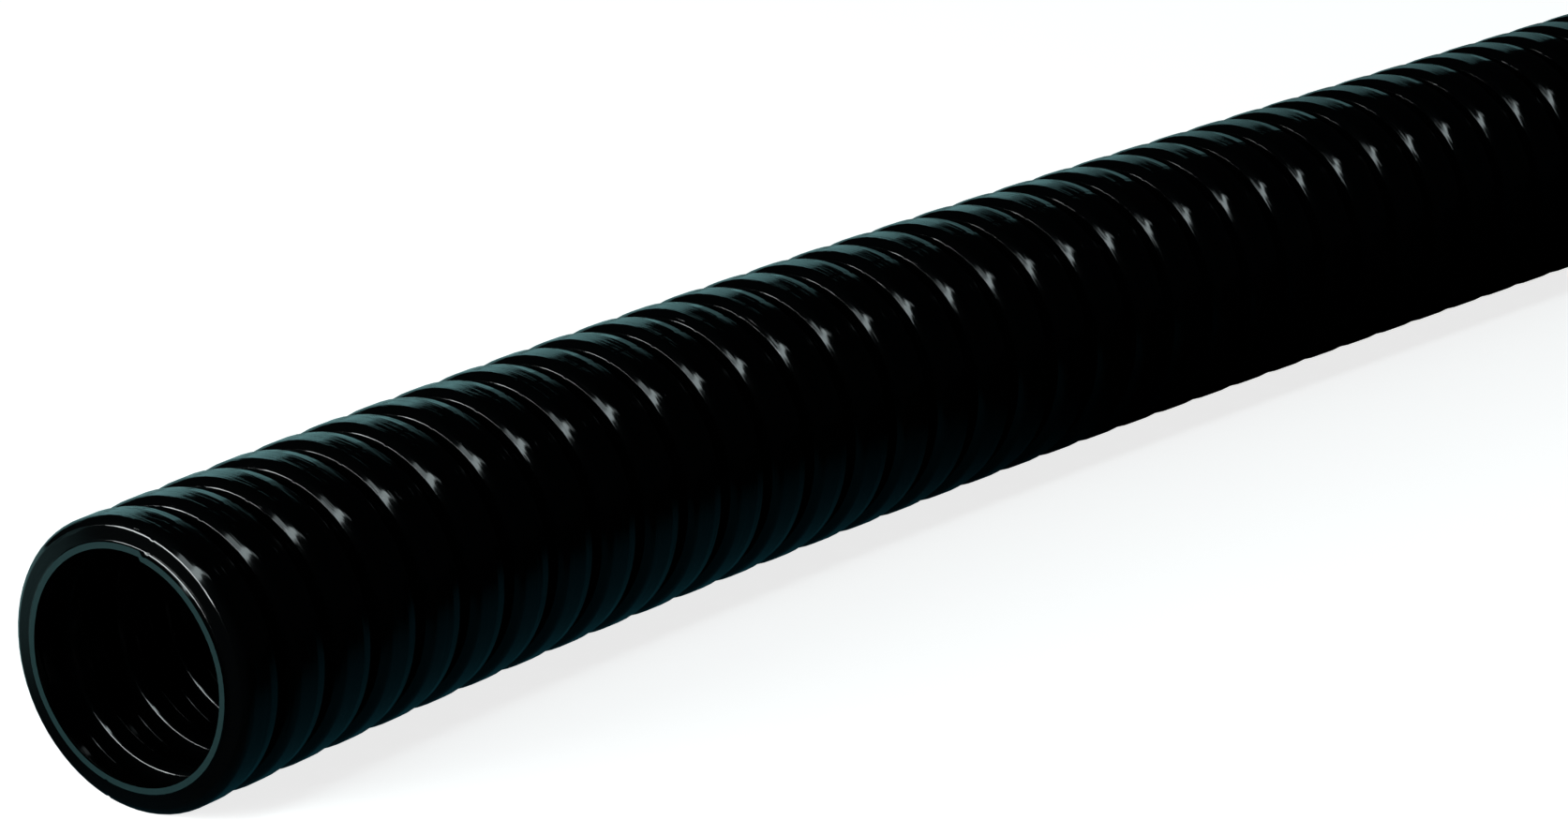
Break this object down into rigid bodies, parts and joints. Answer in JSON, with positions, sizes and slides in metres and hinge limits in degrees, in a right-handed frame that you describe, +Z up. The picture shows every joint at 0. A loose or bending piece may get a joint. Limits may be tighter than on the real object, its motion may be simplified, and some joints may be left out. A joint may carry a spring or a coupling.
{
  "type": "corrugated conduit",
  "caption": "Cut length of thin-walled corrugated tube with broad ring ribs and narrow grooves, hollow inside the ribs, open at both square cut ends, with a slight bend.",
  "frame": {"origin": "middle of the tube's footprint, on the floor it lies on", "axes": "+X along the tube from the near cut end to the far one, +Y across it towards the outside of the bend, +Z up"},
  "size_m": [0.3064, 0.0392, 0.0334],
  "materials": {
    "conduit": "gloss"
  },
  "bodies": {
    "root": {"conduit": "conduit"}
  },
  "joints": []
}
